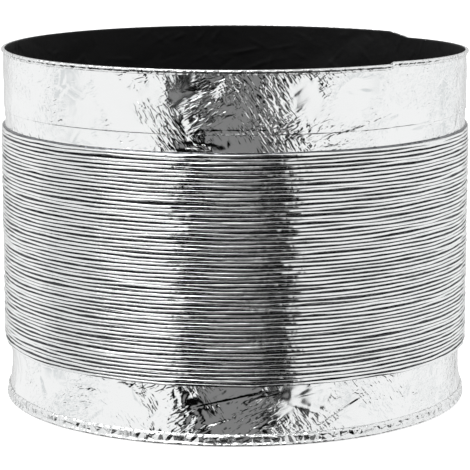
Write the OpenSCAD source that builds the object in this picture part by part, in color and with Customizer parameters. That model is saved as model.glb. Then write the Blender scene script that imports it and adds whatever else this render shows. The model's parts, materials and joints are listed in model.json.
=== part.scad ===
// Flexible air duct, pushed together to its shortest length and standing upright.
// A foil skin and a liner film are wound round a spring wire. Between the turns of
// wire both plies fold inwards, and at each end one turn is pulled flat as a cuff.
// +Z runs up the duct's axis, and the origin is the centre of the bottom rim.
// The folded stack is cut into sections, because it stretches and bends between them.

/* [Duct] */
// Inside diameter of the top cuff
bore_d = 253.1; // [150:0.1:320]
// How much smaller the bottom cuff's radius is, where it is drawn in
draw_in = 1.8; // [0:0.1:1.8]

/* [Folded stack] */
// Number of sections that the stack is cut into
sections = 15; // [12:1:15]
// Turns of wire in one section
turns = 4; // [2:1:6]
// Height of one folded turn
pitch = 2; // [2:0.1:3]
// How far the crests stand out beyond the top cuff
crest_stand = 2; // [1:0.1:2]
// How far the folds reach in behind the crests
fold_depth = 5; // [5:0.5:12]
// Width of the groove between two crests
groove_w = 0.3; // [0.25:0.05:0.4]
// Gap left between two sections
section_gap = 0.1; // [0.05:0.05:0.2]

/* [Plies and wire] */
// Thickness of the foil skin, and of the liner film
ply_t = 0.2; // [0.15:0.05:0.2]
// Glue line between the plies and round the wire
glue_gap = 0.05; // [0.02:0.01:0.05]
// Diameter of the spring wire
wire_d = 1; // [0.6:0.1:1]

/* [Ends] */
// Height of the top cuff
top_cuff_h = 42; // [20:1:60]
// Height of the bottom cuff
bottom_cuff_h = 31; // [20:1:60]
// How far the top hem is turned down over the cuff
top_hem_h = 2.8; // [2.4:0.1:10]
// How far the bottom hem is turned up over the cuff
bottom_hem_h = 6; // [2.4:0.1:10]

/* [Hidden] */
$fn = 128;

// Distance between the same surface of the foil and of the liner
ply_step = ply_t + glue_gap;
top_cuff_r = bore_d / 2 + ply_step + ply_t;
bottom_cuff_r = top_cuff_r - draw_in;
crest_r = top_cuff_r + crest_stand;
valley_r = crest_r - fold_depth;

// The wire lies just inside every crest, and on the outside of the cuff at each rim
wire_r = crest_r - ply_step - wire_d / 2;
rim_wire_out = glue_gap + wire_d / 2;

section_h = turns * pitch;
stack_h = sections * section_h;
stack_top = bottom_cuff_h + stack_h;
duct_h = stack_top + top_cuff_h;

crest_half_w = (pitch - groove_w) / 2;
crest_corner = 0.5;
liner_corner = 0.15;
cuff_corner = 1.2;
corner_steps = 3;

function label(k) = str(k < 10 ? "0" : "", k);
function numbered(name) = [for (k = [1 : sections]) str(name, label(k))];

// Height of the bottom of section k, counted from 1
function section_z(k) = bottom_cuff_h + (k - 1) * section_h;

function reversed(list) = [for (i = [len(list) - 1 : -1 : 0]) list[i]];

// Points of a round corner about a centre, from one angle to another
function corner(centre, radius, from, to) =
    [for (i = [0 : corner_steps])
        let (a = from + (to - from) * i / corner_steps)
        centre + radius * [cos(a), sin(a)]];

// One crest of a ply, as [radius, height] points up its outer side.
// The crest's middle is at height z and its flanks are half_w to each side.
function crest(z, outer_r, inner_r, half_w, round_r) = concat(
    [[inner_r, z - half_w]],
    corner([outer_r - round_r, z - half_w + round_r], round_r, -90, 0),
    corner([outer_r - round_r, z + half_w - round_r], round_r, 0, 90),
    [[inner_r, z + half_w]]
);

// One surface of a section's ply, from its bottom edge to its top edge
function section_surface(outer_r, inner_r, half_w, round_r) = concat(
    [[inner_r, section_gap / 2]],
    [for (i = [0 : turns - 1])
        each crest((i + 0.5) * pitch, outer_r, inner_r, half_w, round_r)],
    [[inner_r, section_h - section_gap / 2]]
);

// A folded ply between two surfaces. The second is ply_t inside the first.
module folded_ply(k, outer_r, inner_r, half_w, round_r) {
    first = section_surface(outer_r, inner_r, half_w, round_r);
    second = section_surface(outer_r - ply_t, inner_r - ply_t, half_w - ply_t, round_r / 2);
    translate([0, 0, section_z(k)])
        rotate_extrude() polygon(concat(first, reversed(second)));
}

module outer_foil(k) {
    color("silver") folded_ply(k, crest_r, valley_r, crest_half_w, crest_corner);
}

// The liner passes behind the wire in each crest
module inner_liner(k) {
    behind_wire = wire_r - wire_d / 2 - glue_gap;
    color([0.09, 0.09, 0.09])
        folded_ply(k, behind_wire, valley_r - ply_step, crest_half_w - ply_step, liner_corner);
}

module wire_ring(radius, z) {
    translate([0, 0, z]) rotate_extrude() translate([radius, 0]) circle(d = wire_d, $fn = 32);
}

module wire_turns(k) {
    color("gray")
        for (i = [0 : turns - 1]) wire_ring(wire_r, section_z(k) + (i + 0.5) * pitch);
}

// Places an end's profile, whose height runs away from the stack
module at_top() { translate([0, 0, stack_top]) children(); }
module at_bottom() { translate([0, 0, bottom_cuff_h]) mirror([0, 0, 1]) children(); }

// One surface of a cuff's ply, in from the outer side by inset: the last half fold,
// a round corner and the flat wall up to the rim
function cuff_surface(cuff_r, height, inset) = concat(
    [[valley_r - inset, section_gap / 2], [valley_r - inset, groove_w / 2 + inset]],
    corner([cuff_r - cuff_corner, groove_w / 2 + cuff_corner],
        cuff_corner - inset, -90, 0),
    [[cuff_r - inset, height - ply_step]]
);

module cuff_ply(cuff_r, height, inset) {
    rotate_extrude() polygon(concat(
        cuff_surface(cuff_r, height, inset),
        reversed(cuff_surface(cuff_r, height, inset + ply_t))
    ));
}

// One surface of a hem: over the rim's edge, round the wire and back along the cuff
function hem_surface(cuff_r, height, hem_h, out) =
    let (
        wire_at = [cuff_r + rim_wire_out, height - ply_step - wire_d / 2],
        round_r = wire_d / 2 + glue_gap + out
    )
    concat(
        [[cuff_r - ply_step - ply_t, height - ply_t + out]],
        corner(wire_at, round_r, 90, 0),
        corner(wire_at, round_r, -20, -60),
        [[cuff_r + glue_gap + out, height - hem_h + 0.4 - out],
         [cuff_r + glue_gap + out, height - hem_h]]
    );

module hem(cuff_r, height, hem_h) {
    color("gainsboro") rotate_extrude() polygon(concat(
        hem_surface(cuff_r, height, hem_h, ply_t),
        reversed(hem_surface(cuff_r, height, hem_h, 0))
    ));
}

module top_cuff_foil() {
    color("silver") at_top() cuff_ply(top_cuff_r, top_cuff_h, 0);
}

module top_cuff_liner() {
    color([0.09, 0.09, 0.09]) at_top() cuff_ply(top_cuff_r, top_cuff_h, ply_step);
}

module top_rim_wire() {
    color("gray") wire_ring(top_cuff_r + rim_wire_out, duct_h - ply_step - wire_d / 2);
}

module top_hem() { at_top() hem(top_cuff_r, top_cuff_h, top_hem_h); }

module bottom_cuff_foil() {
    color("silver") at_bottom() cuff_ply(bottom_cuff_r, bottom_cuff_h, 0);
}

module bottom_cuff_liner() {
    color([0.09, 0.09, 0.09]) at_bottom() cuff_ply(bottom_cuff_r, bottom_cuff_h, ply_step);
}

module bottom_rim_wire() {
    color("gray") wire_ring(bottom_cuff_r + rim_wire_out, ply_step + wire_d / 2);
}

module bottom_hem() { at_bottom() hem(bottom_cuff_r, bottom_cuff_h, bottom_hem_h); }

bottom_hem();
bottom_rim_wire();
bottom_cuff_foil();
bottom_cuff_liner();
for (k = [1 : sections]) {
    outer_foil(k);
    wire_turns(k);
    inner_liner(k);
}
top_cuff_foil();
top_cuff_liner();
top_rim_wire();
top_hem();
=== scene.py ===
import json
import math

import bpy
import numpy as np
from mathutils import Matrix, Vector


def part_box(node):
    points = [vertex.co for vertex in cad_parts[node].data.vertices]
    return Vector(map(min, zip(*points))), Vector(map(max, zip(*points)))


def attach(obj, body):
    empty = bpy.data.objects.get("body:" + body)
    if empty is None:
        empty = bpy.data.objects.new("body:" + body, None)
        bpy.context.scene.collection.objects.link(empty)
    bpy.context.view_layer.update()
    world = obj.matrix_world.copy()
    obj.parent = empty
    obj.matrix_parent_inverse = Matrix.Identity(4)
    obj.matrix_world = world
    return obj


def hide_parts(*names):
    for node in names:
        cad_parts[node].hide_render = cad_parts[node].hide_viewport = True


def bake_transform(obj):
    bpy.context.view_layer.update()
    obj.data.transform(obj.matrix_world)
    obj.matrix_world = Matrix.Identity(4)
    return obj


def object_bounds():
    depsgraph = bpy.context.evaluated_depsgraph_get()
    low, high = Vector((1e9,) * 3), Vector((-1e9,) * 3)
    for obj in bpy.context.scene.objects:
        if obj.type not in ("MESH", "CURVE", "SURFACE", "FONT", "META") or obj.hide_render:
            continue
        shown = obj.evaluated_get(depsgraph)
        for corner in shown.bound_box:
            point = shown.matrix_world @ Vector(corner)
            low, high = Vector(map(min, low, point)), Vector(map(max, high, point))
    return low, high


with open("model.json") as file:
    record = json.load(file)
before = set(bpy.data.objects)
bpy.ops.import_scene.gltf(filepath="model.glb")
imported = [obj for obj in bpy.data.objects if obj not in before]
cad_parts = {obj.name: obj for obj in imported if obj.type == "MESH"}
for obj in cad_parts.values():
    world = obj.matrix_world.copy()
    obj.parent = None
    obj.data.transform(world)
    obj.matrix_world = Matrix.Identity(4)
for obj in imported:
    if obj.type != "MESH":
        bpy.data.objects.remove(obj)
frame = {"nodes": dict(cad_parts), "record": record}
cadLow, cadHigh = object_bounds()
collection = bpy.context.scene.collection
mm = 0.001

# what the frame says about the duct
bodyOf = {
    node: body
    for body, nodes in frame["record"]["behaviour"]["bodies"].items()
    for node in nodes
}
sectionCount = sum(name.startswith("outer_foil_") for name in frame["nodes"])
firstLow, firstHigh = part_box("outer_foil_01")
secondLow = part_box("outer_foil_02")[0]
sectionHeight = secondLow.z - firstLow.z
stackBottom = firstLow.z - (secondLow.z - firstHigh.z) / 2
stackTop = stackBottom + sectionCount * sectionHeight
crestRadius = firstHigh.x
ductHeight = cadHigh.z
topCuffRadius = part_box("top_cuff_foil")[1].x
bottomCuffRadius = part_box("bottom_cuff_foil")[1].x

stack = {
    "turns": 4,  # turns of wire in each section
    "foldDepth": 5 * mm,  # how far a fold reaches in from the crests
    "crestHalfWidth": 0.67 * mm,
    "crestBend": 0.26 * mm,  # radius of the crest's two corners
    "crown": 0.07 * mm,  # how far the crest bulges between its corners
    "crestDepth": 0.95 * mm,  # from the crest in to where the fold begins
    "foldPower": 1.6,  # a higher power makes the foot of a fold flatter
    "linerPower": 1.5,
    "endLinerPower": 2.4,
    "wireRadius": 0.5 * mm,
    "plyThickness": 0.12 * mm,
    "wireClearance": 0.1 * mm,
    "openPitch": 38 * mm,  # height of one turn when the duct is pulled right out
    "wobble": 2.1 * mm,  # how far the skin wanders in and out
    "wobbleSpacing": 19 * mm,
    "sway": 2.4 * mm,  # how far the crests wander up and down
    "swaySpacing": 48 * mm,
    "tilt": 2.2,  # how steeply a crest's face leans up or down
    "tiltSpacing": 34 * mm,
    "seed": 7.0,
    "tiltSeed": 18.0,
    "crestSegments": 336,
    "foldSegments": 168,
    "linerSegments": 144,
    "wireSegments": 96,
}
pitch = sectionHeight / stack["turns"]
valleyRadius = crestRadius - stack["foldDepth"]
seamRadius = crestRadius - stack["crestDepth"]
wireCentre = crestRadius - stack["plyThickness"] - stack["wireClearance"] - stack["wireRadius"]
linerCrest = wireCentre - stack["wireRadius"] - stack["wireClearance"]
linerValley = valleyRadius - stack["plyThickness"] - stack["wireClearance"]
print("frame read:", sectionCount, "sections, pitch", round(pitch / mm, 2), "mm")


def addNode(tree, kind, inputs=None, **settings):
    node = tree.nodes.new(kind)
    for name, value in settings.items():
        setattr(node, name, value)
    for socket, value in (inputs or {}).items():
        if isinstance(value, bpy.types.NodeSocket):
            tree.links.new(value, node.inputs[socket])
        else:
            node.inputs[socket].default_value = value
    return node


def hexToLinear(text):
    channels = [int(text[i : i + 2], 16) / 255 for i in (1, 3, 5)]
    linear = [c / 12.92 if c <= 0.04045 else ((c + 0.055) / 1.055) ** 2.4 for c in channels]
    return (*linear, 1)


# camera, floor and light
view = {
    "lens": 173.9,
    "place": (0, -1.25, 0.314),
    "aim": (0, 0, 0.0867),
}


def addCamera():
    data = bpy.data.cameras.new("camera")
    data.sensor_width = 36
    data.lens = view["lens"]
    camera = bpy.data.objects.new("camera", data)
    collection.objects.link(camera)
    camera.location = view["place"]
    camera.rotation_mode = "QUATERNION"
    aim = Vector(view["aim"]) - camera.location
    camera.rotation_quaternion = aim.to_track_quat("-Z", "Y")
    bpy.context.scene.camera = camera


room = {
    "wall": "#FFFFFF",
    "gap": "#050505",  # the unlit gap between the lights, on either side of the camera
    "front": "#848484",  # the grey wall behind the camera
    "gapAngle": 28,  # degrees from the front to where the gap ends
    "frontAngle": 14.5,  # degrees from the front to where the gap begins
    "gapEdge": 2,  # degrees over which an edge fades, to each side
    "frontEdge": 4,
    "gapTop": 0.66,  # sine of the height where the gap and the grey wall end
    "topEdge": 0.05,
    "shade": "#DFE2E3",  # softer stretches of the walls
    "shadeScale": 2.5,
    "shadeFrom": 0.5,
    "shadeTo": 0.68,
    "back": "#DADADA",
    "backAngle": 152,  # degrees from the front to where the duller back wall begins
    "backEdge": 16,
    "ground": "#0C0C0C",
    "groundFrom": -0.5,  # sine of the angle below which the ground looks dark
    "groundTo": -0.62,
    "floor": "#FFFFFF",
    "floorRoughness": 0.9,
    "floorGlow": 0.6,  # lifts the floor to the white of the backdrop
    "floorReach": 3,
    "floorDrop": 0.5 * mm,
}


def addRoomLight():
    world = bpy.data.worlds.new("room")
    bpy.context.scene.world = world
    world.use_nodes = True
    tree = world.node_tree
    tree.nodes.clear()
    place = addNode(tree, "ShaderNodeTexCoord")
    parts = addNode(tree, "ShaderNodeSeparateXYZ", {0: place.outputs["Generated"]})
    back = addNode(tree, "ShaderNodeMath", {0: parts.outputs["Y"], 1: -1}, operation="MULTIPLY")
    turn = addNode(
        tree, "ShaderNodeMath", {0: parts.outputs["X"], 1: back.outputs[0]}, operation="ARCTAN2"
    )
    side = addNode(tree, "ShaderNodeMath", {0: turn.outputs[0]}, operation="ABSOLUTE")

    cloud = addNode(
        tree,
        "ShaderNodeTexNoise",
        {"Vector": place.outputs["Generated"], "Scale": room["shadeScale"], "Detail": 2},
    )
    # each share goes from 0 to 1 between two values
    fades = {
        "shade": (cloud.outputs["Fac"], room["shadeFrom"], room["shadeTo"]),
        "ground": (parts.outputs["Z"], room["groundFrom"], room["groundTo"]),
        "low": (
            parts.outputs["Z"],
            room["gapTop"] + room["topEdge"],
            room["gapTop"] - room["topEdge"],
        ),
    }
    # going round from the front, the grey wall and the gap fade out and the back wall fades in
    for name, sign in (("back", -1), ("gap", 1), ("front", 1)):
        angle, edge = room[name + "Angle"], sign * room[name + "Edge"]
        fades[name] = (side.outputs[0], math.radians(angle + edge), math.radians(angle - edge))
    share = {}
    for name, (value, fromValue, toValue) in fades.items():
        faded = addNode(
            tree,
            "ShaderNodeMapRange",
            {"Value": value, "From Min": fromValue, "From Max": toValue},
            interpolation_type="SMOOTHSTEP",
        )
        share[name] = faded.outputs[0]
    colour = hexToLinear(room["wall"])
    for name in ("shade", "back", "gap", "front", "ground"):
        amount = share[name]
        if name in ("gap", "front"):
            amount = addNode(
                tree, "ShaderNodeMath", {0: amount, 1: share["low"]}, operation="MULTIPLY"
            ).outputs[0]
        layered = addNode(
            tree,
            "ShaderNodeMix",
            {0: amount, 6: colour, 7: hexToLinear(room[name])},
            data_type="RGBA",
        )
        colour = layered.outputs[2]
    lit = addNode(tree, "ShaderNodeBackground", {"Color": colour, "Strength": 1})
    plain = addNode(
        tree, "ShaderNodeBackground", {"Color": hexToLinear(room["wall"]), "Strength": 1}
    )
    path = addNode(tree, "ShaderNodeLightPath")
    shown = addNode(
        tree,
        "ShaderNodeMixShader",
        {0: path.outputs["Is Camera Ray"], 1: lit.outputs[0], 2: plain.outputs[0]},
    )
    addNode(tree, "ShaderNodeOutputWorld", {"Surface": shown.outputs[0]})
    bpy.context.scene.view_settings.view_transform = "Standard"


def addFloor():
    reach = room["floorReach"]
    mesh = bpy.data.meshes.new("floor")
    corners = [(-reach, -reach, 0), (reach, -reach, 0), (reach, reach, 0), (-reach, reach, 0)]
    mesh.from_pydata(corners, [], [(0, 1, 2, 3)])
    floor = bpy.data.objects.new("floor", mesh)
    collection.objects.link(floor)
    floor.location.z = -room["floorDrop"]
    floor.visible_glossy = False
    floor.visible_diffuse = False
    material = bpy.data.materials.new("pale_floor")
    material.use_nodes = True
    shader = material.node_tree.nodes["Principled BSDF"]
    shader.inputs["Base Color"].default_value = hexToLinear(room["floor"])
    shader.inputs["Roughness"].default_value = room["floorRoughness"]
    shader.inputs["Emission Color"].default_value = hexToLinear(room["floor"])
    shader.inputs["Emission Strength"].default_value = room["floorGlow"]
    mesh.materials.append(material)


lamp = {
    "size": 1.6,
    "power": 30,
    "place": (-0.7, -0.5, 1.9),
}


def addSoftLight():
    data = bpy.data.lights.new("softLight", "AREA")
    data.size = lamp["size"]
    data.energy = lamp["power"]
    light = bpy.data.objects.new("softLight", data)
    collection.objects.link(light)
    light.location = lamp["place"]
    light.rotation_mode = "QUATERNION"
    light.rotation_quaternion = (-light.location).to_track_quat("-Z", "Y")


addCamera()
addRoomLight()
addFloor()
addSoftLight()
print("camera, floor and light made")


# materials
def newMaterial(name, colour, metallic, roughness):
    material = bpy.data.materials.new(name)
    material.use_nodes = True
    shader = material.node_tree.nodes["Principled BSDF"]
    shader.inputs["Base Color"].default_value = hexToLinear(colour)
    shader.inputs["Metallic"].default_value = metallic
    shader.inputs["Roughness"].default_value = roughness
    return material, material.node_tree, shader


# Aluminium foil laminated to film: bright rolled metal, crinkled by winding and folding.
# Creases lie about 5 mm apart, with finer crinkles between them.
laminate = {
    "colour": "#F1F2F2",
    "foldedRoughness": 0.13,
    "roughness": 0.06,
    "rubbedRoughness": 0.17,  # where handling has dulled the cuffs
    "creaseSpacing": 5 * mm,
    "crinkleSpacing": 1.5 * mm,  # the finest crinkles
    "crinkleSpread": 3,  # the widest crinkles, in widths of the finest
    "creaseHeight": 0.13 * mm,
    "crinkleHeight": 0.04 * mm,
    "wrinkleSpacing": 1.8 * mm,
    "wrinkleHeight": 0.66 * mm,
    "wrinkleSets": ((0.4, 0.0), (-0.9, 0.3)),  # lean of each set of wrinkles, and its shift
    "wrinkleShape": (0.32, 0.6, 1),  # draws the wrinkles out sideways
    "wrinkleBend": 0.8,
    "patchSize": 30 * mm,
    "patchFrom": 0.455,
    "patchTo": 0.6,
    "rubbedSize": 45 * mm,
    "rubbedFrom": 0.5,
    "rubbedTo": 0.68,
    # Painted shade: the foil inside the folds is drawn dark grey to stand for the shade deep in the grooves
    # between the crests
    "foldShadeColour": "#7E7F82",
    "creasedRoughness": 0.26,
    "creasedDepth": 8,  # times the height of the creases, and of the crinkles below
    "creasedCrinkle": 6,
}


def crinkleBump(tree, creaseHeight, crinkleHeight):
    place = addNode(tree, "ShaderNodeTexCoord")
    creases = addNode(
        tree,
        "ShaderNodeTexVoronoi",
        {"Vector": place.outputs["Object"], "Scale": 1 / laminate["creaseSpacing"]},
        feature="DISTANCE_TO_EDGE",
    )
    crinkles = addNode(
        tree,
        "ShaderNodeTexNoise",
        {
            "Vector": place.outputs["Object"],
            "Scale": 1 / laminate["crinkleSpacing"] / laminate["crinkleSpread"],
            "Detail": 3,
            "Roughness": 0.6,
        },
    )
    big = addNode(
        tree,
        "ShaderNodeBump",
        {"Height": creases.outputs["Distance"], "Distance": creaseHeight, "Strength": 1},
    )
    return addNode(
        tree,
        "ShaderNodeBump",
        {
            "Height": crinkles.outputs["Fac"],
            "Distance": crinkleHeight,
            "Strength": 1,
            "Normal": big.outputs["Normal"],
        },
    )


def foldedLaminate():
    material, tree, shader = newMaterial(
        "aluminium_laminate_folded", laminate["colour"], 1, laminate["foldedRoughness"]
    )
    bump = crinkleBump(tree, laminate["creaseHeight"], laminate["crinkleHeight"])
    tree.links.new(bump.outputs["Normal"], shader.inputs["Normal"])
    return material


def shadedFoldLaminate():
    # The same foil inside the folds: its dark grey is painted shade for the deep, narrow grooves between
    # the crests, and its rougher, more deeply crinkled surface is the foil creased hard each time the duct
    # closes
    material, tree, shader = newMaterial(
        "aluminium_laminate_fold_painted_shade", laminate["foldShadeColour"], 1, laminate["creasedRoughness"]
    )
    bump = crinkleBump(
        tree,
        laminate["creasedDepth"] * laminate["creaseHeight"],
        laminate["creasedCrinkle"] * laminate["crinkleHeight"],
    )
    tree.links.new(bump.outputs["Normal"], shader.inputs["Normal"])
    return material


def cuffLaminate():
    # Foil pulled flat over the cuff: patches of fine wrinkles between smooth stretches
    material, tree, shader = newMaterial(
        "aluminium_laminate_smooth", laminate["colour"], 1, laminate["roughness"]
    )
    place = addNode(tree, "ShaderNodeTexCoord")
    normal = None
    for lean, shift in laminate["wrinkleSets"]:
        turned = addNode(
            tree,
            "ShaderNodeMapping",
            {
                "Vector": place.outputs["Object"],
                "Location": (shift, 0, shift),
                "Rotation": (0, lean, 0),
            },
        )
        patches = addNode(
            tree,
            "ShaderNodeTexNoise",
            {"Vector": turned.outputs[0], "Scale": 1 / laminate["patchSize"], "Detail": 2},
        )
        strength = addNode(
            tree,
            "ShaderNodeMapRange",
            {
                "Value": patches.outputs["Fac"],
                "From Min": laminate["patchFrom"],
                "From Max": laminate["patchTo"],
                "To Max": 1,
            },
            interpolation_type="SMOOTHSTEP",
        )
        drawn = addNode(
            tree,
            "ShaderNodeMapping",
            {"Vector": turned.outputs[0], "Scale": laminate["wrinkleShape"]},
        )
        wrinkles = addNode(
            tree,
            "ShaderNodeTexNoise",
            {
                "Vector": drawn.outputs[0],
                "Scale": 1 / laminate["wrinkleSpacing"],
                "Detail": 1,
                "Roughness": 0.4,
                "Distortion": laminate["wrinkleBend"],
            },
        )
        height = addNode(
            tree,
            "ShaderNodeMath",
            {0: wrinkles.outputs["Fac"], 1: strength.outputs[0]},
            operation="MULTIPLY",
        )
        bump = addNode(
            tree,
            "ShaderNodeBump",
            {"Height": height.outputs[0], "Distance": laminate["wrinkleHeight"], "Strength": 1},
        )
        if normal:
            tree.links.new(normal, bump.inputs["Normal"])
        normal = bump.outputs["Normal"]
    tree.links.new(normal, shader.inputs["Normal"])
    rubbed = addNode(
        tree,
        "ShaderNodeTexNoise",
        {"Vector": place.outputs["Object"], "Scale": 1 / laminate["rubbedSize"], "Detail": 3},
    )
    dulled = addNode(
        tree,
        "ShaderNodeMapRange",
        {
            "Value": rubbed.outputs["Fac"],
            "From Min": laminate["rubbedFrom"],
            "From Max": laminate["rubbedTo"],
            "To Min": laminate["roughness"],
            "To Max": laminate["rubbedRoughness"],
        },
    )
    tree.links.new(dulled.outputs[0], shader.inputs["Roughness"])
    return material


turnedEdge = {
    "colour": "#EDEEEE",
    "smoothRoughness": 0.12,
    "scuffedRoughness": 0.3,
    "creaseDepth": 11,  # times the height of the laminate's creases
    "crinkleDepth": 14,
    "scuffSize": 6 * mm,
    "scuffFrom": 0.4,
    "scuffTo": 0.7,
}


def hemLaminate():
    # The foil turned over the rim: crushed against the wire, so its facets are small and deep
    material, tree, shader = newMaterial(
        "aluminium_laminate_hem", turnedEdge["colour"], 1, turnedEdge["smoothRoughness"]
    )
    bump = crinkleBump(
        tree,
        turnedEdge["creaseDepth"] * laminate["creaseHeight"],
        turnedEdge["crinkleDepth"] * laminate["crinkleHeight"],
    )
    tree.links.new(bump.outputs["Normal"], shader.inputs["Normal"])
    place = addNode(tree, "ShaderNodeTexCoord")
    scuffs = addNode(
        tree,
        "ShaderNodeTexNoise",
        {
            "Vector": place.outputs["Object"],
            "Scale": 1 / turnedEdge["scuffSize"],
            "Detail": 3,
        },
    )
    dulled = addNode(
        tree,
        "ShaderNodeMapRange",
        {
            "Value": scuffs.outputs["Fac"],
            "From Min": turnedEdge["scuffFrom"],
            "From Max": turnedEdge["scuffTo"],
            "To Min": turnedEdge["smoothRoughness"],
            "To Max": turnedEdge["scuffedRoughness"],
        },
    )
    tree.links.new(dulled.outputs[0], shader.inputs["Roughness"])
    return material


# A material of one colour whose surface has a single fine grain
def grainedMaterial(name, finish):
    material, tree, shader = newMaterial(
        name, finish["colour"], finish["metallic"], finish["roughness"]
    )
    shader.inputs["Specular IOR Level"].default_value = finish["specular"]
    place = addNode(tree, "ShaderNodeTexCoord")
    grain = addNode(
        tree,
        "ShaderNodeTexNoise",
        {
            "Vector": place.outputs["Object"],
            "Scale": 1 / finish["grain"],
            "Detail": finish["detail"],
        },
    )
    bump = addNode(
        tree,
        "ShaderNodeBump",
        {"Height": grain.outputs["Fac"], "Distance": finish["grainHeight"], "Strength": 1},
    )
    tree.links.new(bump.outputs["Normal"], shader.inputs["Normal"])
    return material


# Black polyester film with a matt coating: a soft grey sheen where it turns to the light
filmFinish = {
    "colour": "#060607",
    "metallic": 0,
    "roughness": 0.62,
    "specular": 0.25,
    "grain": 4 * mm,  # its unevenness, because the matt grain itself is too fine to show
    "grainHeight": 0.2 * mm,
    "detail": 3,
}
# Drawn spring steel: grey, with fine lines left by the die
wireFinish = {
    "colour": "#8F9092",
    "metallic": 1,
    "roughness": 0.34,
    "specular": 0.5,
    "grain": 0.3 * mm,  # drawn coarser than the real lines, so that it shows
    "grainHeight": 0.01 * mm,
    "detail": 2,
}
foldedFoil = foldedLaminate()
shadedFoldFoil = shadedFoldLaminate()
cuffFoil = cuffLaminate()
hemFoil = hemLaminate()
linerFilm = grainedMaterial("black_polyester_film", filmFinish)
springSteel = grainedMaterial("drawn_spring_steel", wireFinish)
print("materials made")


# One closed ring of the duct: an outline swept round the axis, then moved in and out and
# up and down by noise that is the same for every ply at the same turn.
ringInputs = {
    "Outline": "NodeSocketObject",
    "Material": "NodeSocketMaterial",
    "Segments": "NodeSocketInt",
    "Radius": "NodeSocketFloat",
    "Height": "NodeSocketFloat",
    "Low": "NodeSocketFloat",
    "High": "NodeSocketFloat",
    "Low Turn": "NodeSocketFloat",
    "High Turn": "NodeSocketFloat",
    "Low Wobble": "NodeSocketFloat",
    "High Wobble": "NodeSocketFloat",
    "Sway": "NodeSocketFloat",
    "Tilt": "NodeSocketFloat",
    "Seed": "NodeSocketFloat",
    "Tilt Seed": "NodeSocketFloat",
}


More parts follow.
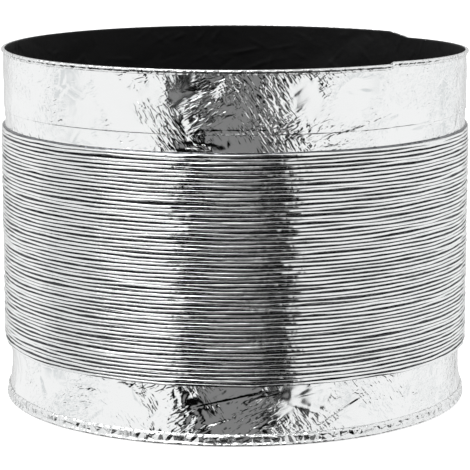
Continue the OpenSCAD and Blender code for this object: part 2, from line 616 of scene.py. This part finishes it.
def makeRingTree():
    tree = bpy.data.node_groups.new("ductRing", "GeometryNodeTree")
    for name, kind in ringInputs.items():
        tree.interface.new_socket(name=name, in_out="INPUT", socket_type=kind)
    tree.interface.new_socket(name="Geometry", in_out="OUTPUT", socket_type="NodeSocketGeometry")
    given = addNode(tree, "NodeGroupInput").outputs
    circle = addNode(
        tree,
        "GeometryNodeCurvePrimitiveCircle",
        {"Resolution": given["Segments"], "Radius": given["Radius"]},
    )
    outline = addNode(tree, "GeometryNodeObjectInfo", {"Object": given["Outline"]})
    swept = addNode(
        tree,
        "GeometryNodeCurveToMesh",
        {"Curve": circle.outputs["Curve"], "Profile Curve": outline.outputs["Geometry"]},
    )
    lift = addNode(tree, "ShaderNodeCombineXYZ", {"Z": given["Height"]})
    lifted = addNode(
        tree, "GeometryNodeTransform", {"Geometry": swept.outputs[0], "Translation": lift.outputs[0]}
    )
    position = addNode(tree, "GeometryNodeInputPosition")
    parts = addNode(tree, "ShaderNodeSeparateXYZ", {0: position.outputs[0]})
    flat = addNode(tree, "ShaderNodeCombineXYZ", {"X": parts.outputs["X"], "Y": parts.outputs["Y"]})
    outward = addNode(tree, "ShaderNodeVectorMath", {0: flat.outputs[0]}, operation="NORMALIZE")
    reach = addNode(tree, "ShaderNodeVectorMath", {0: flat.outputs[0]}, operation="LENGTH")
    ramps = {
        name: addNode(
            tree,
            "ShaderNodeMapRange",
            {
                "Value": parts.outputs["Z"],
                "From Min": given["Low"],
                "From Max": given["High"],
                "To Min": given["Low " + name],
                "To Max": given["High " + name],
            },
        ).outputs[0]
        for name in ("Turn", "Wobble")
    }
    around = addNode(
        tree, "ShaderNodeVectorMath", {0: outward.outputs[0], "Scale": crestRadius}, operation="SCALE"
    )
    unfolded = addNode(
        tree, "ShaderNodeMath", {0: ramps["Turn"], 1: stack["openPitch"]}, operation="MULTIPLY"
    )
    up = addNode(tree, "ShaderNodeCombineXYZ", {"Z": unfolded.outputs[0]})
    spot = addNode(tree, "ShaderNodeVectorMath", {0: around.outputs[0], 1: up.outputs[0]})
    noiseOf = {  # spacing, detail, roughness and seed
        "wobble": (stack["wobbleSpacing"], 3, 0.6, given["Seed"]),
        "sway": (stack["swaySpacing"], 2, 0.5, given["Seed"]),
        "tilt": (stack["tiltSpacing"], 3, 0.6, given["Tilt Seed"]),
    }
    shift = {}
    for name, (spacing, detail, roughness, seed) in noiseOf.items():
        noise = addNode(
            tree,
            "ShaderNodeTexNoise",
            {
                "Vector": spot.outputs[0],
                "W": seed,
                "Scale": 1 / spacing,
                "Detail": detail,
                "Roughness": roughness,
            },
            noise_dimensions="4D",
        )
        centred = addNode(
            tree, "ShaderNodeMath", {0: noise.outputs[0], 1: 0.5}, operation="SUBTRACT"
        )
        shift[name] = centred.outputs[0]
    push = addNode(
        tree, "ShaderNodeMath", {0: shift["wobble"], 1: ramps["Wobble"]}, operation="MULTIPLY"
    )
    tiltBy = addNode(
        tree, "ShaderNodeMath", {0: shift["tilt"], 1: given["Tilt"]}, operation="MULTIPLY"
    )
    aboveMiddle = addNode(
        tree, "ShaderNodeMath", {0: parts.outputs["Z"], 1: given["Height"]}, operation="SUBTRACT"
    )
    tilted = addNode(
        tree,
        "ShaderNodeMath",
        {0: aboveMiddle.outputs[0], 1: tiltBy.outputs[0], 2: push.outputs[0]},
        operation="MULTIPLY_ADD",
    )
    swayHold = addNode(
        tree,
        "ShaderNodeMapRange",
        {
            "Value": reach.outputs["Value"],
            "From Min": seamRadius,
            "From Max": wireCentre,
            "To Max": given["Sway"],
        },
    )
    rise = addNode(
        tree,
        "ShaderNodeMath",
        {0: shift["sway"], 1: swayHold.outputs[0]},
        operation="MULTIPLY",
    )
    pushed = addNode(
        tree, "ShaderNodeVectorMath", {0: outward.outputs[0], "Scale": tilted.outputs[0]}, operation="SCALE"
    )
    raised = addNode(tree, "ShaderNodeCombineXYZ", {"Z": rise.outputs[0]})
    move = addNode(tree, "ShaderNodeVectorMath", {0: pushed.outputs[0], 1: raised.outputs[0]})
    shaped = addNode(
        tree, "GeometryNodeSetPosition", {"Geometry": lifted.outputs[0], "Offset": move.outputs[0]}
    )
    smooth = addNode(tree, "GeometryNodeSetShadeSmooth", {0: shaped.outputs[0]})
    real = addNode(tree, "GeometryNodeRealizeInstances", {0: smooth.outputs[0]})
    finished = addNode(
        tree,
        "GeometryNodeSetMaterial",
        {"Geometry": real.outputs[0], "Material": given["Material"]},
    )
    addNode(tree, "NodeGroupOutput", {0: finished.outputs[0]})
    return tree


ringTree = makeRingTree()
ringSocket = {
    item.name: item.identifier
    for item in ringTree.interface.items_tree
    if item.item_type == "SOCKET" and item.in_out == "INPUT"
}


def arc(centre, radius, fromDegrees, toDegrees, count):
    angles = np.radians(np.linspace(fromDegrees, toDegrees, count))
    return [(centre[0] + radius * math.cos(a), centre[1] + radius * math.sin(a)) for a in angles]


# An outline is a list of (outwards, up) points that climbs its outer side first
def outlineCurve(name, outline):
    curve = bpy.data.curves.new(name, "CURVE")
    curve.dimensions = "3D"
    spline = curve.splines.new("POLY")
    spline.points.add(len(outline) - 1)
    for point, (outwards, up) in zip(spline.points, reversed(outline)):
        point.co = (outwards, -up, 0, 1)
    spline.use_cyclic_u = True
    holder = bpy.data.objects.new(name, curve)
    collection.objects.link(holder)
    return holder


def crestOutline():
    half, thick, bend = stack["crestHalfWidth"], stack["plyThickness"], stack["crestBend"]
    low = (stack["crestDepth"] - bend - stack["crown"], bend - half)
    high = (low[0], -low[1])
    outer = [(0, -half), *arc(low, bend, -90, -15, 3), (stack["crestDepth"], 0)]
    outer += [*arc(high, bend, 15, 90, 3), (0, half)]
    inner = [(0, half - thick), *arc(high, bend - thick, 90, 20, 2)]
    inner += [*arc(low, bend - thick, -20, -90, 2), (0, thick - half)]
    return outer + inner


# A ply between two heights, whose distance from the seam is given for each share of the way up
def plyOutline(reachAt, height, thick, count):
    shares = np.linspace(0, 1, count)
    outer = [(reachAt(t), (t - 0.5) * height) for t in shares]
    return outer + [(x - thick, z) for x, z in reversed(outer)]


foldHeight = pitch - 2 * stack["crestHalfWidth"]
cuffEdge = {  # where each cuff meets the stack
    "outwards": 0.2 * mm,  # how far in from the cuff's wall
    "up": foldHeight / 2,
    "linerInset": 0.55 * mm,  # outer face of the cuff's liner, in from the foil's
    "linerBend": 0.1 * mm,
}
linerEdge = cuffEdge["up"] + cuffEdge["linerInset"]  # from the stack to the end of the cuff's liner


def foldReach(t):
    return (valleyRadius - seamRadius) * (1 - abs(2 * t - 1) ** stack["foldPower"])


def linerReach(t):
    out = abs(2 * t - 1) ** stack["linerPower"]
    return linerValley - seamRadius + (linerCrest - linerValley) * out


def bottomFoldReach(t):
    return (bottomCuffRadius - cuffEdge["outwards"] - seamRadius) * (1 - t ** stack["foldPower"])


# Between the last turn of wire and the cuff, the liner turns in sooner than the foil does
def bottomLinerReach(t):
    inner = bottomCuffRadius - cuffEdge["linerInset"] - cuffEdge["linerBend"]
    return inner - seamRadius + (linerCrest - inner) * t ** stack["endLinerPower"]


def topLinerReach(t):
    inner = topCuffRadius - cuffEdge["linerInset"] - cuffEdge["linerBend"]
    return inner - seamRadius + (linerCrest - inner) * (1 - t) ** stack["endLinerPower"]


def topFoldReach(t):
    return (topCuffRadius - cuffEdge["outwards"] - seamRadius) * (1 - (1 - t) ** stack["foldPower"])


ply = stack["plyThickness"]
outlines = {
    "crest": crestOutline(),
    "fold": plyOutline(foldReach, foldHeight, ply, 9),
    "liner": plyOutline(linerReach, pitch, ply, 7),
    "bottomFold": plyOutline(bottomFoldReach, foldHeight, ply, 7),
    "topFold": plyOutline(topFoldReach, foldHeight, ply, 7),
    "bottomLiner": plyOutline(bottomLinerReach, pitch / 2 + linerEdge, ply, 7),
    "topLiner": plyOutline(topLinerReach, pitch / 2 + linerEdge, ply, 7),
    "wire": arc((wireCentre - seamRadius, 0), stack["wireRadius"], 0, 315, 8),
}
outlineOf = {name: outlineCurve(name, outline) for name, outline in outlines.items()}


def makeRing(name, outline, material, segments, height, low, high, turns, wobbles, sway):
    mesh = bpy.data.meshes.new(name)
    ring = bpy.data.objects.new(name, mesh)
    collection.objects.link(ring)
    modifier = ring.modifiers.new("ductRing", "NODES")
    modifier.node_group = ringTree
    values = {
        "Outline": outlineOf[outline],
        "Material": material,
        "Segments": segments,
        "Radius": seamRadius,
        "Height": height,
        "Low": low,
        "High": high,
        "Low Turn": turns[0],
        "High Turn": turns[1],
        "Low Wobble": wobbles[0],
        "High Wobble": wobbles[1],
        "Sway": sway,
        "Tilt": stack["tilt"] if outline == "crest" else 0.0,
        "Seed": stack["seed"],
        "Tilt Seed": stack["tiltSeed"],
    }
    for socket, value in values.items():
        modifier[ringSocket[socket]] = value
    graph = bpy.context.evaluated_depsgraph_get()
    ring.data = bpy.data.meshes.new_from_object(ring.evaluated_get(graph))
    ring.modifiers.clear()
    bpy.data.meshes.remove(mesh)
    ring.data.name = name
    return ring


def carry(piece, above, shares):
    if shares == (1, 1):
        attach(piece, above)
        return
    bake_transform(piece)


def finishPiece(node):
    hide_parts(node)


def makeSection(section):
    label = f"{section:02d}"
    above = bodyOf["outer_foil_" + label]
    bottom = stackBottom + (section - 1) * sectionHeight
    wobble, sway, half = stack["wobble"], stack["sway"], stack["crestHalfWidth"]
    for i in range(stack["turns"]):
        turn = (section - 1) * stack["turns"] + i
        middle = bottom + (i + 0.5) * pitch
        lowShare, share = i / stack["turns"], (i + 1) / stack["turns"]
        firstTurn = turn == 0
        lowWobble = 0 if firstTurn else wobble

        crest = makeRing(
            f"outer_foil_{label}_crest_{i + 1}", "crest", foldedFoil, stack["crestSegments"],
            middle, middle - half, middle + half, (turn, turn), (wobble, wobble), sway,
        )
        carry(crest, above, (share, share))
        finishPiece("outer_foil_" + label)

        foldLow = middle - half - foldHeight
        fold = makeRing(
            f"outer_foil_{label}_fold_{i + 1}", "bottomFold" if firstTurn else "fold",
            shadedFoldFoil, stack["foldSegments"], foldLow + foldHeight / 2,
            foldLow, middle - half, (turn - 1, turn), (lowWobble, wobble), 0,
        )
        carry(fold, above, (lowShare, share))
        finishPiece("outer_foil_" + label)

        linerLow = stackBottom - linerEdge if firstTurn else middle - pitch
        liner = makeRing(
            f"inner_liner_{label}_{i + 1}", "bottomLiner" if firstTurn else "liner",
            linerFilm, stack["linerSegments"], (linerLow + middle) / 2,
            linerLow, middle, (turn - 1, turn), (lowWobble, wobble), 0,
        )
        carry(liner, above, (lowShare, share))
        finishPiece("inner_liner_" + label)

        wire = makeRing(
            f"wire_turns_{label}_{i + 1}", "wire", springSteel, stack["wireSegments"],
            middle, middle - half, middle + half, (turn, turn), (wobble, wobble), sway,
        )
        carry(wire, above, (share, share))
        finishPiece("wire_turns_" + label)


for section in range(1, sectionCount + 1):
    makeSection(section)
print("folded stack made")

lastTurn = sectionCount * stack["turns"] - 1
topFold = makeRing(
    "top_cuff_fold", "topFold", shadedFoldFoil, stack["crestSegments"],
    stackTop, stackTop - foldHeight / 2, stackTop + foldHeight / 2,
    (lastTurn, lastTurn + 1), (stack["wobble"], 0), 0,
)
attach(topFold, bodyOf["top_cuff_foil"])
finishPiece("top_cuff_foil")
lastMiddle = stackTop - pitch / 2
topLiner = makeRing(
    "top_cuff_liner_fold", "topLiner", linerFilm, stack["linerSegments"],
    (lastMiddle + stackTop + linerEdge) / 2, lastMiddle, stackTop + linerEdge,
    (lastTurn, lastTurn + 1), (stack["wobble"], 0), 0,
)
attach(topLiner, bodyOf["top_cuff_liner"])
finishPiece("top_cuff_liner")
for curve in outlineOf.values():
    bpy.data.objects.remove(curve)


# The cuffs: one open turn at each end, crumpled a little by handling
cuffs = {
    "segments": 720,
    "rows": 44,
    "wireSegments": 192,
    "foilThickness": 0.15 * mm,
    "flare": 1.8 * mm,  # how far the bottom cuff spreads towards its rim
    "flareHeight": 17 * mm,
    "fineCreases": 420,
    "fineLength": (3, 12),  # half length in mm
    "fineWidth": (0.9, 1.7),  # half width in mm
    "fineSlope": (0.06, 0.26),
    "broadCreases": 70,
    "broadLength": (8, 30),
    "broadWidth": (4, 12),
    "broadSlope": (0.015, 0.05),
    "lapHeight": 9.4 * mm,  # the lapped edge of the wound strip, above the stack
    "lapStep": 0.3 * mm,
    "lapRise": 0.25 * mm,
    "lapRows": (-0.3 * mm, -0.15 * mm, 0, 0.3 * mm),  # extra rows that keep the lap's edge sharp
    "creaseFrom": 0.4 * mm,  # creases begin this far from the stack and are full at creaseTo
    "creaseTo": 3 * mm,
    "rimHold": 0.6,  # how much of the creases' depth the rim's wire takes away
    "rimHoldHeight": 6 * mm,
    "belowRim": 0.3 * mm,  # from the rim's top down to the edges of foil and liner
    "topSeed": 3,
    "bottomSeed": 5,
}
hems = {
    "topHeight": 2.8 * mm,
    "bottomHeight": 6 * mm,
    "thickness": 0.15 * mm,
    "gap": 0.06 * mm,  # between the hem and the cuff
    "wireGap": 0.05 * mm,
    "wireOut": 0.55 * mm,  # centre of the rim's wire outwards from the cuff
    "wireBelow": 0.75 * mm,  # centre of the rim's wire down from the hem's top
    "wireReach": 1.8 * mm,  # from the hem's top to where it leaves the wire
    "bottomRoll": 0.9 * mm,  # how far the bottom hem's turned edge stands out
    "rollRise": 1.1 * mm,
    "rollLeft": 0.2,  # share of the roll that is left where the hem meets the wire
}
topHeight = ductHeight - stackTop
bottomHeight = stackBottom
# Height of the rim above its mean, at angles from the front towards +X, in degrees and mm
rimAngles = (-180, 38.5, 39.5, 127, 134, 180)
rimRises = (0, 0, 1.1, -2.7, 0, 0)


def randomCreases(seed, count, lengths, widths, slopes, heightRange):
    random = np.random.default_rng(seed)
    return [
        {
            "at": (random.uniform(-180, 180), random.uniform(*heightRange)),
            "lean": random.uniform(0, math.pi),
            "length": random.uniform(*lengths),
            "width": random.uniform(*widths),
            "slope": random.uniform(*slopes) * random.choice((-1, 1)),
        }
        for _ in range(count)
    ]


# A crease between two points, each an angle from the front in degrees and a height in mm
def longCrease(start, end, width, slope):
    radius = topCuffRadius / mm
    across = math.radians(end[0] - start[0]) * radius
    return {
        "at": ((start[0] + end[0]) / 2, (start[1] + end[1]) / 2),
        "lean": math.atan2(end[1] - start[1], across),
        "length": math.hypot(across, end[1] - start[1]) / 2,
        "width": width,
        "slope": slope,
    }


def cuffCreases(seed, heightRange):
    fine = randomCreases(
        seed, cuffs["fineCreases"], cuffs["fineLength"], cuffs["fineWidth"],
        cuffs["fineSlope"], heightRange,
    )
    broad = randomCreases(
        seed + 1, cuffs["broadCreases"], cuffs["broadLength"], cuffs["broadWidth"],
        cuffs["broadSlope"], heightRange,
    )
    return fine + broad


topCreases = cuffCreases(cuffs["topSeed"], (stackTop / mm, ductHeight / mm)) + [
    longCrease((12, 152), (46, 170), 1.5, -0.55),
    longCrease((17, 153.5), (30, 157), 1.3, 0.5),
    longCrease((40, 158), (71.4, 163), 1.4, 0.5),
    longCrease((-20, 161), (16, 162.5), 1.3, -0.5),
    longCrease((-15, 180), (-2, 183), 7, -0.26),
    longCrease((-14, 155), (-2, 153), 2.6, -0.5),
]
bottomCreases = cuffCreases(cuffs["bottomSeed"], (0, stackBottom / mm)) + [
    longCrease((-14, 16.5), (10, 29), 1.5, -0.5),
    longCrease((-10, 8.5), (4.5, 19), 1.4, -0.45),
    longCrease((1, 22.5), (13, 26), 3.5, -0.32),
    longCrease((17, 4.6), (33, 21.5), 1.5, -0.85),
    longCrease((12, 22), (24, 12), 1.3, 0.45),
    longCrease((-57, 24), (-53, 6), 1.6, 0.5),
    longCrease((-53, 14), (-34, 13.5), 1.2, 0.35),
]


# Each crease is a roof with straight slopes that dies away towards its two ends
def creaseField(creases, azimuth, height):
    field = np.zeros_like(azimuth)
    radius = topCuffRadius / mm
    for crease in creases:
        turn = (azimuth - crease["at"][0] + 180) % 360 - 180
        across = np.radians(turn) * radius
        up = height - crease["at"][1]
        cosLean, sinLean = math.cos(crease["lean"]), math.sin(crease["lean"])
        along = (across * cosLean + up * sinLean) / crease["length"]
        aside = (up * cosLean - across * sinLean) / crease["width"]
        roof = np.clip(1 - np.abs(aside), 0, None) * np.clip(1 - along**2, 0, None)
        field += crease["slope"] * crease["width"] * roof
    return field


def smoothStep(value, low, high):
    t = np.clip((value - low) / (high - low), 0, 1)
    return t * t * (3 - 2 * t)


def cuffPush(azimuth, height, away, cuffHeight, creases):
    nearRim = smoothStep(away, cuffHeight - cuffs["rimHoldHeight"], cuffHeight)
    hold = smoothStep(away, cuffs["creaseFrom"], cuffs["creaseTo"]) * (1 - cuffs["rimHold"] * nearRim)
    return creaseField(creases, azimuth, height / mm) * mm * hold


def topShape(angle, radius, height):
    azimuth = (np.degrees(angle) + 270) % 360 - 180
    away = height - stackTop
    push = cuffPush(azimuth, height, away, topHeight, topCreases)
    lap = cuffs["lapHeight"]
    push += cuffs["lapStep"] * smoothStep(away, lap - cuffs["lapRise"], lap)
    rise = np.interp(azimuth, rimAngles, rimRises) * mm
    return radius + push, height + rise * np.clip(away / topHeight, 0, 1)


def bottomShape(angle, radius, height):
    azimuth = (np.degrees(angle) + 270) % 360 - 180
    away = stackBottom - height
    push = cuffPush(azimuth, height, away, bottomHeight, bottomCreases)
    push += cuffs["flare"] * smoothStep(away, bottomHeight - cuffs["flareHeight"], bottomHeight)
    return radius + push, height


def turnedRing(name, outline, segments, shape, material):
    angles = np.arange(segments) * 2 * math.pi / segments
    radius, height = np.array(outline).T
    angle, radius = np.meshgrid(angles, radius, indexing="ij")
    radius, height = shape(angle, radius, np.broadcast_to(height, radius.shape))
    points = np.stack((radius * np.cos(angle), radius * np.sin(angle), height), axis=-1)
    index = np.arange(radius.size).reshape(radius.shape)
    onward = np.roll(index, -1, axis=0)
    faces = np.stack((index, onward, np.roll(onward, -1, axis=1), np.roll(index, -1, axis=1)), axis=-1)
    mesh = bpy.data.meshes.new(name)
    mesh.from_pydata(points.reshape(-1, 3).tolist(), [], faces.reshape(-1, 4).tolist())
    mesh.polygons.foreach_set("use_smooth", np.ones(len(mesh.polygons), dtype=bool))
    mesh.materials.append(material)
    piece = bpy.data.objects.new(name, mesh)
    collection.objects.link(piece)
    return piece


# Wall outlines are given as distance from the cuff's outer face, and distance from the stack
def wallOutline(outer, thickness):
    return outer + [(x - thickness, away) for x, away in reversed(outer)]


def cuffWall(inset, cuffHeight, rows, extra=()):
    bend = max(cuffEdge["outwards"], inset + cuffEdge["linerBend"])
    lower = arc((-bend, cuffEdge["up"] + bend), bend - inset, -90, 0, 5)
    top = cuffHeight - cuffs["belowRim"]
    away = sorted({*np.linspace(lower[-1][1], top, rows + 1)[1:], *extra})
    return lower + [(-inset, h) for h in away]


def atTop(outline):
    return [(topCuffRadius + x, stackTop + away) for x, away in outline]


def atBottom(outline):
    return [(bottomCuffRadius + x, stackBottom - away) for x, away in reversed(outline)]


# The hem goes over the rim's edge, round the last turn of wire and back along the cuff
def hemOutline(cuffHeight, hemHeight, roll):
    thick, gap = hems["thickness"], hems["gap"]
    wireAt = (hems["wireOut"], cuffHeight - hems["wireBelow"])
    roundWire = stack["wireRadius"] + hems["wireGap"]
    inner = -(cuffs["foilThickness"] + cuffEdge["linerInset"])
    top = cuffHeight - hems["wireGap"]
    rows = 2 * int(hemHeight / mm) + 1
    away = np.linspace(cuffHeight - hemHeight, cuffHeight - hems["wireReach"], rows)
    rollAt = (away[0], away[0] + hems["rollRise"], away[-1])
    rise = np.interp(away, rollAt, (0, roll, hems["rollLeft"] * roll))
    low = [(gap + x, h) for x, h in zip(rise, away)]
    outer = [(x + thick, h) for x, h in low]
    outer += arc(wireAt, roundWire + thick, -50, 90, 9) + [(inner, top)]
    back = [(inner, top - thick)] + arc(wireAt, roundWire, 90, -50, 7)
    return outer + back + low[::-1]


def makeEnd(end, place, shape, cuffHeight, hemHeight, hemRoll):
    edges = [cuffs["lapHeight"] + row for row in cuffs["lapRows"]] if end == "top" else []
    thick = cuffs["foilThickness"]
    foil = wallOutline(cuffWall(0, cuffHeight, cuffs["rows"], edges), thick)
    film = wallOutline(cuffWall(cuffEdge["linerInset"], cuffHeight, cuffs["rows"]), thick)
    wireAt = (hems["wireOut"], cuffHeight - hems["wireBelow"])
    wire = arc(wireAt, stack["wireRadius"], 0, 315, 8)
    hem = hemOutline(cuffHeight, hemHeight, hemRoll)
    pieces = {
        "cuff_foil": (foil, cuffs["segments"], cuffFoil, "duct_foil"),
        "cuff_liner": (film, cuffs["segments"], linerFilm, "liner_film"),
        "rim_wire": (wire, cuffs["wireSegments"], springSteel, "spring_wire"),
        "hem": (hem, cuffs["segments"], hemFoil, "hem_foil"),
    }
    for part, (outline, segments, material, slot) in pieces.items():
        node = f"{end}_{part}"
        piece = turnedRing(node + "_shaped", place(outline), segments, shape, material)
        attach(piece, bodyOf[node])
        finishPiece(node)


makeEnd("top", atTop, topShape, topHeight, hems["topHeight"], 0)
makeEnd("bottom", atBottom, bottomShape, bottomHeight, hems["bottomHeight"], hems["bottomRoll"])
print("cuffs and hems made")
